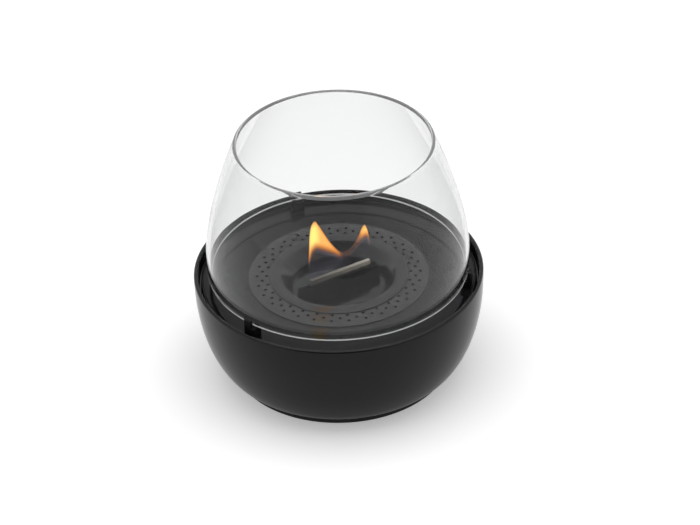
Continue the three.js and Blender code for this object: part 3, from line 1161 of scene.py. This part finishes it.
class BuildClips(bpy.types.Operator):
    """Builds the three clips that hold the glass, and finishes their pads and screws"""

    bl_idname = "fire.build_clips"
    bl_label = "Clips, pads and screws"

    def execute(self, context):
        s = context.scene.fire_clips
        glass = context.scene.fire_glass
        coat = clip_coat(s.coat)
        rubber = material_once("black_rubber", soft_rubber, context.scene.fire_foot.rubber)
        zinc = material_once("zinc_steel", zinc_steel)
        slot_inner = glass.radius - glass.wall - s.slot_gap
        slot_outer = glass.radius + s.slot_gap
        inner = slot_inner - s.inner_jaw
        outer = slot_outer + s.outer_jaw
        low, high = CLIP_LOW.z, CLIP_HIGH.z
        inner_high = glass.bottom + s.inner_grip
        outline = [
            (inner, low),
            (outer, low),
            (outer, high),
            (slot_outer, high),
            (slot_outer, s.floor),
            (slot_inner, s.floor),
            (slot_inner, inner_high),
            (inner, inner_high),
        ]
        half = s.width / 2
        rounding = 0.4 * MM
        over = 1 * MM
        for number, azimuth in enumerate(CLIP_AZIMUTHS, 1):
            clip = extruded(f"clip_{number}", outline, s.width, 50)
            cuts = [
                (slot_outer - over, outer + over, s.outer_width - half, half + over),
                (inner - over, slot_inner + over, -half - over, half - s.inner_width),
            ]
            drilled(clip, [block(*cut, s.floor, high + over) for cut in cuts])
            bevelled(clip, rounding, 4)
            place(clip, bearing(azimuth))
            dress(clip, coat, "clip_black", "deck", f"glass_clip_{number}")
            dress_node(f"clip_pad_{number}", rubber)
            dress_node(f"clip_screw_{number}", zinc)
        return {"FINISHED"}


class BuildStudio(bpy.types.Operator):
    """Sets up the pale floor, the soft studio light and the camera"""

    bl_idname = "fire.build_studio"
    bl_label = "Studio"

    def execute(self, context):
        s = context.scene.fire_studio
        self.floor()
        self.world(context, s)
        self.lamps(s)
        self.camera(context, s)
        context.scene.view_settings.view_transform = "Standard"
        return {"FINISHED"}

    def floor(self):
        """A pale floor that looks white to the camera, and bright in glass and gloss."""
        half = 1.2
        verts = [(-half, -half, 0), (half, -half, 0), (half, half, 0), (-half, half, 0)]
        floor = finish_mesh("floor", verts, [[0, 1, 2, 3]])
        paint = Paint("studio_floor")
        paint.set(Base_Color=(0.8, 0.8, 0.8), Roughness=1.0, Specular_IOR_Level=0.0)
        path = paint.node("ShaderNodeLightPath").outputs
        lift = paint.math("MULTIPLY", path["Is Camera Ray"], 0.3)
        lift = paint.math("MULTIPLY_ADD", path["Is Transmission Ray"], 0.1, lift)
        lift = paint.math("MULTIPLY_ADD", path["Is Glossy Ray"], 0.1, lift)
        paint.surface.inputs["Emission Color"].default_value = WHITE
        paint.link(lift, paint.surface.inputs["Emission Strength"])
        floor.data.materials.append(paint.material)

    def world(self, context, s):
        """White for the camera; for all other rays dim in front and brighter at the sides."""
        world = bpy.data.worlds.new("studio_world")
        context.scene.world = world
        world.use_nodes = True
        sky = Net(world.node_tree)
        x, y, _ = sky.axes(sky.node("ShaderNodeTexCoord").outputs["Generated"])
        depth = sky.spread(y, s.front, s.back, -0.9, 0.3, "SMOOTHSTEP")
        flank = sky.spread(sky.math("ABSOLUTE", x), 0, s.flank, 0.25, 0.8, "SMOOTHSTEP")
        dim = sky.tree.nodes["Background"]
        dim.inputs["Color"].default_value = WHITE
        sky.link(sky.math("ADD", depth, flank), dim.inputs["Strength"])
        path = sky.node("ShaderNodeLightPath").outputs
        behind = sky.spread(y, 0, 1, 0.0, 0.6, "SMOOTHSTEP")
        mirrored = sky.math(
            "MULTIPLY_ADD", path["Is Glossy Ray"], behind, path["Is Transmission Ray"]
        )
        seen = sky.math("ADD", path["Is Camera Ray"], mirrored, clamp=True)
        white = sky.node("ShaderNodeBackground")
        white.inputs["Strength"].default_value = 1.0
        white.inputs["Color"].default_value = WHITE
        mix = sky.mixed(seen, dim.outputs[0], white.outputs[0])
        sky.link(mix, sky.tree.nodes["World Output"].inputs["Surface"])

    def lamps(self, s):
        data = bpy.data.lights.new("overhead", "AREA")
        data.shape = "SQUARE"
        data.size = 1.6
        data.energy = s.overhead
        lamp = bpy.data.objects.new("overhead", data)
        bpy.context.scene.collection.objects.link(lamp)
        lamp.location = (0, 0.1, 1.7)

    def camera(self, context, s):
        data = bpy.data.cameras.new("camera")
        data.lens = s.lens
        data.sensor_width = 36
        camera = bpy.data.objects.new("camera", data)
        context.scene.collection.objects.link(camera)
        aim = Matrix.Rotation(math.pi / 2 - s.elevation, 3, "X") @ Matrix.Rotation(s.roll, 3, "Z")
        right, up, back = aim.col
        deck = Vector((0, 0, DECK_HIGH.z))
        camera.location = deck - right * s.aside + up * s.below + back * s.distance
        camera.rotation_euler = aim.to_euler()
        context.scene.camera = camera


STEPS = (
    BuildBowl,
    BuildFoot,
    BuildDeck,
    BuildBurner,
    BuildWick,
    BuildGlass,
    BuildClips,
    BuildStudio,
)


class FirePanel(bpy.types.Panel):
    """Lists the steps that build the fire, and their sizes and colours"""

    bl_idname = "VIEW3D_PT_tabletop_fire"
    bl_label = "Tabletop Bioethanol Fire"
    bl_space_type = "VIEW_3D"
    bl_region_type = "UI"
    bl_category = "Fire"

    def draw(self, context):
        for step in STEPS:
            self.layout.operator(step.bl_idname)
        for name, group in SETTINGS.items():
            column = self.layout.box().column()
            for field in group.__annotations__:
                column.prop(getattr(context.scene, name), field)


def register():
    for group in (*SETTINGS.values(), *STEPS, FirePanel):
        bpy.utils.register_class(group)
    for name, group in SETTINGS.items():
        setattr(bpy.types.Scene, name, PointerProperty(type=group))


def unregister():
    for name in SETTINGS:
        delattr(bpy.types.Scene, name)
    for group in reversed((*SETTINGS.values(), *STEPS, FirePanel)):
        bpy.utils.unregister_class(group)


def main():
    register()
    for step in STEPS:
        area, name = step.bl_idname.split(".")
        getattr(getattr(bpy.ops, area), name)()


if __name__ == "__main__":
    main()
